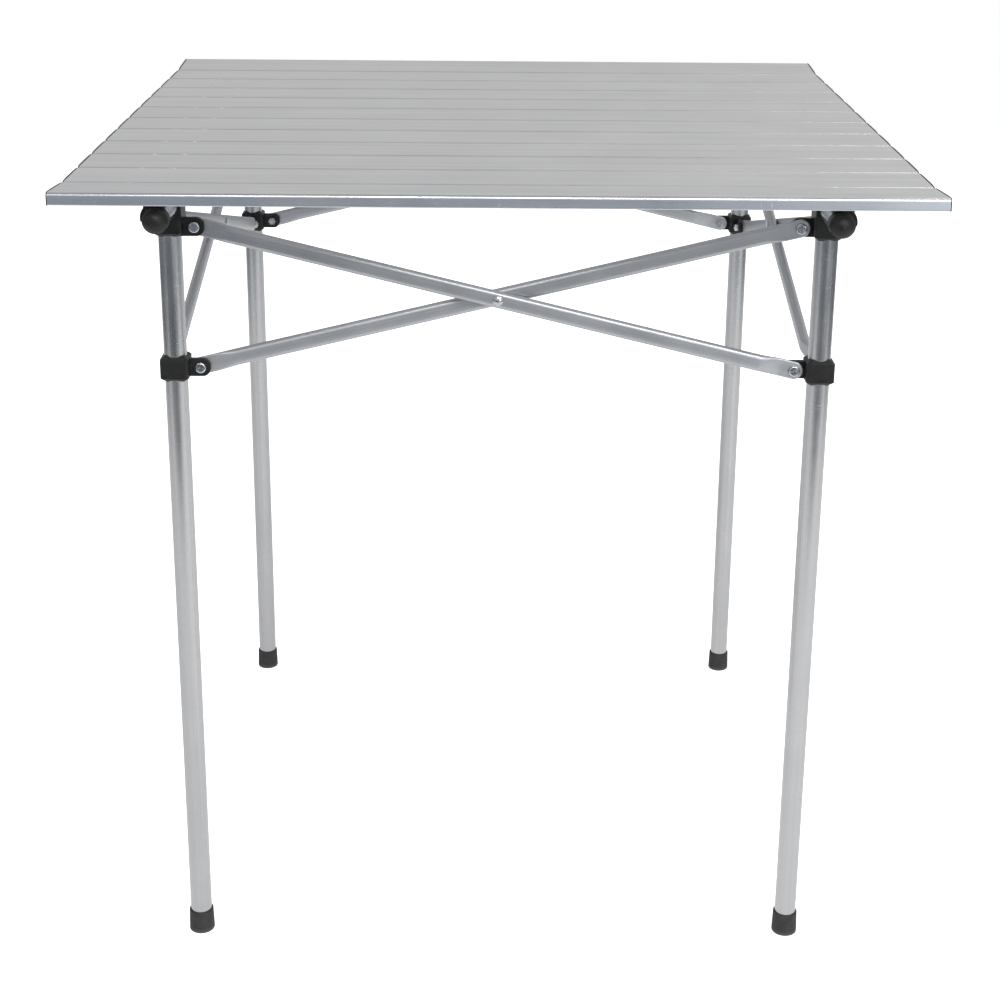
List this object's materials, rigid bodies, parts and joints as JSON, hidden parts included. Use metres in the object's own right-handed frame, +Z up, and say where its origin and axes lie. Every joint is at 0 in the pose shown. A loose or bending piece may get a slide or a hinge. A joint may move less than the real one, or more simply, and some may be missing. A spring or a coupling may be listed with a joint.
{
  "type": "folding side table",
  "caption": "Square folding side table with a roll-up slatted aluminium top on a four-legged scissor frame.",
  "frame": {"origin": "on the floor under the centre of the tabletop", "axes": "+X along the slats, +Y from the front edge to the rear edge, +Z up"},
  "size_m": [0.6906, 0.7004, 0.7039],
  "materials": {
    "slat_aluminium": "satin anodised, finely brushed along the slats",
    "tube_aluminium": "satin drawn tube",
    "black_plastic": "moulded, fine texture",
    "foot_rubber": "matte",
    "zinc_fasteners": "bright zinc plate",
    "elastic_cord": "braided sleeve"
  },
  "bodies": {
    "leg_front_left": {"leg_front_left": "tube_aluminium", "foot_front_left": "foot_rubber", "fitting_front_left": "black_plastic", "fitting_screws_front_left": "zinc_fasteners"},
    "collar_front_left": {"collar_front_left": "black_plastic", "collar_screws_front_left": "zinc_fasteners"},
    "leg_front_right": {"leg_front_right": "tube_aluminium", "foot_front_right": "foot_rubber", "fitting_front_right": "black_plastic", "fitting_screws_front_right": "zinc_fasteners"},
    "collar_front_right": {"collar_front_right": "black_plastic", "collar_screws_front_right": "zinc_fasteners"},
    "leg_rear_right": {"leg_rear_right": "tube_aluminium", "foot_rear_right": "foot_rubber", "fitting_rear_right": "black_plastic", "fitting_screws_rear_right": "zinc_fasteners"},
    "collar_rear_right": {"collar_rear_right": "black_plastic", "collar_screws_rear_right": "zinc_fasteners"},
    "leg_rear_left": {"leg_rear_left": "tube_aluminium", "foot_rear_left": "foot_rubber", "fitting_rear_left": "black_plastic", "fitting_screws_rear_left": "zinc_fasteners"},
    "collar_rear_left": {"collar_rear_left": "black_plastic", "collar_screws_rear_left": "zinc_fasteners"},
    "outer_bar_front": {"outer_bar_front": "tube_aluminium", "crossing_rivet_front": "zinc_fasteners"},
    "inner_bar_front": {"inner_bar_front": "tube_aluminium"},
    "outer_bar_right": {"outer_bar_right": "tube_aluminium", "crossing_rivet_right": "zinc_fasteners"},
    "inner_bar_right": {"inner_bar_right": "tube_aluminium"},
    "outer_bar_rear": {"outer_bar_rear": "tube_aluminium", "crossing_rivet_rear": "zinc_fasteners"},
    "inner_bar_rear": {"inner_bar_rear": "tube_aluminium"},
    "outer_bar_left": {"outer_bar_left": "tube_aluminium", "crossing_rivet_left": "zinc_fasteners"},
    "inner_bar_left": {"inner_bar_left": "tube_aluminium"},
    "left_rail": {"left_rail": "tube_aluminium", "left_rail_caps": "black_plastic"},
    "right_rail": {"right_rail": "tube_aluminium", "right_rail_caps": "black_plastic"},
    "slat_01": {"slat_01": "slat_aluminium", "front_hook_clips": "black_plastic", "front_clip_rivets": "zinc_fasteners", "elastic_cords": "elastic_cord"},
    "slat_02": {"slat_02": "slat_aluminium"},
    "slat_03": {"slat_03": "slat_aluminium"},
    "slat_04": {"slat_04": "slat_aluminium"},
    "slat_05": {"slat_05": "slat_aluminium"},
    "slat_06": {"slat_06": "slat_aluminium"},
    "slat_07": {"slat_07": "slat_aluminium"},
    "slat_08": {"slat_08": "slat_aluminium"},
    "slat_09": {"slat_09": "slat_aluminium"},
    "slat_10": {"slat_10": "slat_aluminium"},
    "slat_11": {"slat_11": "slat_aluminium"},
    "slat_12": {"slat_12": "slat_aluminium", "rear_hook_clips": "black_plastic", "rear_clip_rivets": "zinc_fasteners"}
  },
  "joints": [
    {"name": "frame_fold", "type": "hinge", "parent": "leg_front_left", "child": "outer_bar_front", "pos_m": [-0.246, -0.267, 0.66], "axis": [0, 1, 0], "range_deg": [0, 70]},
    {"name": "front_crossing", "type": "hinge", "parent": "outer_bar_front", "child": "inner_bar_front", "pos_m": [0, -0.267, 0.6], "axis": [0, 1, 0], "range_deg": [-140, 0]},
    {"name": "front_right_upper_pivot", "type": "hinge", "parent": "inner_bar_front", "child": "leg_front_right", "pos_m": [0.246, -0.267, 0.66], "axis": [0, 1, 0], "range_deg": [0, 70]},
    {"name": "front_right_collar_pivot", "type": "hinge", "parent": "outer_bar_front", "child": "collar_front_right", "pos_m": [0.246, -0.267, 0.54], "axis": [0, 1, 0], "range_deg": [-70, 0]},
    {"name": "front_left_collar_pivot", "type": "hinge", "parent": "inner_bar_front", "child": "collar_front_left", "pos_m": [-0.246, -0.267, 0.54], "axis": [0, 1, 0], "range_deg": [0, 70]},
    {"name": "right_upper_pivot", "type": "hinge", "parent": "leg_front_right", "child": "outer_bar_right", "pos_m": [0.267, -0.246, 0.66], "axis": [-1, 0, 0], "range_deg": [0, 70]},
    {"name": "right_crossing", "type": "hinge", "parent": "outer_bar_right", "child": "inner_bar_right", "pos_m": [0.267, 0, 0.6], "axis": [-1, 0, 0], "range_deg": [-140, 0]},
    {"name": "rear_right_upper_pivot", "type": "hinge", "parent": "inner_bar_right", "child": "leg_rear_right", "pos_m": [0.267, 0.246, 0.66], "axis": [-1, 0, 0], "range_deg": [0, 70]},
    {"name": "rear_right_collar_pivot", "type": "hinge", "parent": "outer_bar_right", "child": "collar_rear_right", "pos_m": [0.267, 0.246, 0.54], "axis": [-1, 0, 0], "range_deg": [-70, 0]},
    {"name": "left_upper_pivot", "type": "hinge", "parent": "leg_front_left", "child": "inner_bar_left", "pos_m": [-0.267, -0.246, 0.66], "axis": [1, 0, 0], "range_deg": [-70, 0]},
    {"name": "left_crossing", "type": "hinge", "parent": "inner_bar_left", "child": "outer_bar_left", "pos_m": [-0.267, 0, 0.6], "axis": [1, 0, 0], "range_deg": [0, 140]},
    {"name": "rear_left_upper_pivot", "type": "hinge", "parent": "outer_bar_left", "child": "leg_rear_left", "pos_m": [-0.267, 0.246, 0.66], "axis": [1, 0, 0], "range_deg": [-70, 0]},
    {"name": "rear_left_collar_pivot", "type": "hinge", "parent": "inner_bar_left", "child": "collar_rear_left", "pos_m": [-0.267, 0.246, 0.54], "axis": [1, 0, 0], "range_deg": [0, 70]},
    {"name": "rear_upper_pivot", "type": "hinge", "parent": "leg_rear_right", "child": "outer_bar_rear", "pos_m": [0.246, 0.267, 0.66], "axis": [0, -1, 0], "range_deg": [0, 70]},
    {"name": "rear_crossing", "type": "hinge", "parent": "outer_bar_rear", "child": "inner_bar_rear", "pos_m": [0, 0.267, 0.6], "axis": [0, -1, 0], "range_deg": [-140, 0]},
    {"name": "top_lift", "type": "slide", "parent": "leg_front_left", "child": "slat_01", "axis": [0, 0, 1], "range_m": [0, 0.3]},
    {"name": "left_rail_lift", "type": "slide", "parent": "leg_front_left", "child": "left_rail", "axis": [0, 0, 1], "range_m": [0, 0.12]},
    {"name": "right_rail_lift", "type": "slide", "parent": "leg_front_right", "child": "right_rail", "axis": [0, 0, 1], "range_m": [0, 0.12]},
    {"name": "top_roll", "type": "hinge", "parent": "slat_01", "child": "slat_02", "pos_m": [0, -0.29167, 0.7], "axis": [1, 0, 0], "range_deg": [0, 27], "deforming": ["elastic_cords"]},
    {"name": "seam_02", "type": "hinge", "parent": "slat_02", "child": "slat_03", "pos_m": [0, -0.23333, 0.7], "axis": [1, 0, 0], "range_deg": [0, 27]},
    {"name": "seam_03", "type": "hinge", "parent": "slat_03", "child": "slat_04", "pos_m": [0, -0.175, 0.7], "axis": [1, 0, 0], "range_deg": [0, 27]},
    {"name": "seam_04", "type": "hinge", "parent": "slat_04", "child": "slat_05", "pos_m": [0, -0.11667, 0.7], "axis": [1, 0, 0], "range_deg": [0, 27]},
    {"name": "seam_05", "type": "hinge", "parent": "slat_05", "child": "slat_06", "pos_m": [0, -0.05833, 0.7], "axis": [1, 0, 0], "range_deg": [0, 27]},
    {"name": "seam_06", "type": "hinge", "parent": "slat_06", "child": "slat_07", "pos_m": [0, 0, 0.7], "axis": [1, 0, 0], "range_deg": [0, 27]},
    {"name": "seam_07", "type": "hinge", "parent": "slat_07", "child": "slat_08", "pos_m": [0, 0.05833, 0.7], "axis": [1, 0, 0], "range_deg": [0, 27]},
    {"name": "seam_08", "type": "hinge", "parent": "slat_08", "child": "slat_09", "pos_m": [0, 0.11667, 0.7], "axis": [1, 0, 0], "range_deg": [0, 27]},
    {"name": "seam_09", "type": "hinge", "parent": "slat_09", "child": "slat_10", "pos_m": [0, 0.175, 0.7], "axis": [1, 0, 0], "range_deg": [0, 27]},
    {"name": "seam_10", "type": "hinge", "parent": "slat_10", "child": "slat_11", "pos_m": [0, 0.23333, 0.7], "axis": [1, 0, 0], "range_deg": [0, 27]},
    {"name": "seam_11", "type": "hinge", "parent": "slat_11", "child": "slat_12", "pos_m": [0, 0.29167, 0.7], "axis": [1, 0, 0], "range_deg": [0, 27]}
  ],
  "couplings": [
    {"joint": "front_crossing", "follows": "frame_fold", "ratio": -2},
    {"joint": "front_right_upper_pivot", "follows": "frame_fold", "ratio": 1},
    {"joint": "front_right_collar_pivot", "follows": "frame_fold", "ratio": -1},
    {"joint": "front_left_collar_pivot", "follows": "frame_fold", "ratio": 1},
    {"joint": "right_upper_pivot", "follows": "frame_fold", "ratio": 1},
    {"joint": "right_crossing", "follows": "frame_fold", "ratio": -2},
    {"joint": "rear_right_upper_pivot", "follows": "frame_fold", "ratio": 1},
    {"joint": "rear_right_collar_pivot", "follows": "frame_fold", "ratio": -1},
    {"joint": "left_upper_pivot", "follows": "frame_fold", "ratio": -1},
    {"joint": "left_crossing", "follows": "frame_fold", "ratio": 2},
    {"joint": "rear_left_upper_pivot", "follows": "frame_fold", "ratio": -1},
    {"joint": "rear_left_collar_pivot", "follows": "frame_fold", "ratio": 1},
    {"joint": "rear_upper_pivot", "follows": "frame_fold", "ratio": 1},
    {"joint": "rear_crossing", "follows": "frame_fold", "ratio": -2},
    {"joint": "left_rail_lift", "follows": "top_lift", "ratio": 0.4},
    {"joint": "right_rail_lift", "follows": "top_lift", "ratio": 0.4},
    {"joint": "seam_02", "follows": "top_roll", "ratio": 1},
    {"joint": "seam_03", "follows": "top_roll", "ratio": 1},
    {"joint": "seam_04", "follows": "top_roll", "ratio": 1},
    {"joint": "seam_05", "follows": "top_roll", "ratio": 1},
    {"joint": "seam_06", "follows": "top_roll", "ratio": 1},
    {"joint": "seam_07", "follows": "top_roll", "ratio": 1},
    {"joint": "seam_08", "follows": "top_roll", "ratio": 1},
    {"joint": "seam_09", "follows": "top_roll", "ratio": 1},
    {"joint": "seam_10", "follows": "top_roll", "ratio": 1},
    {"joint": "seam_11", "follows": "top_roll", "ratio": 1}
  ]
}
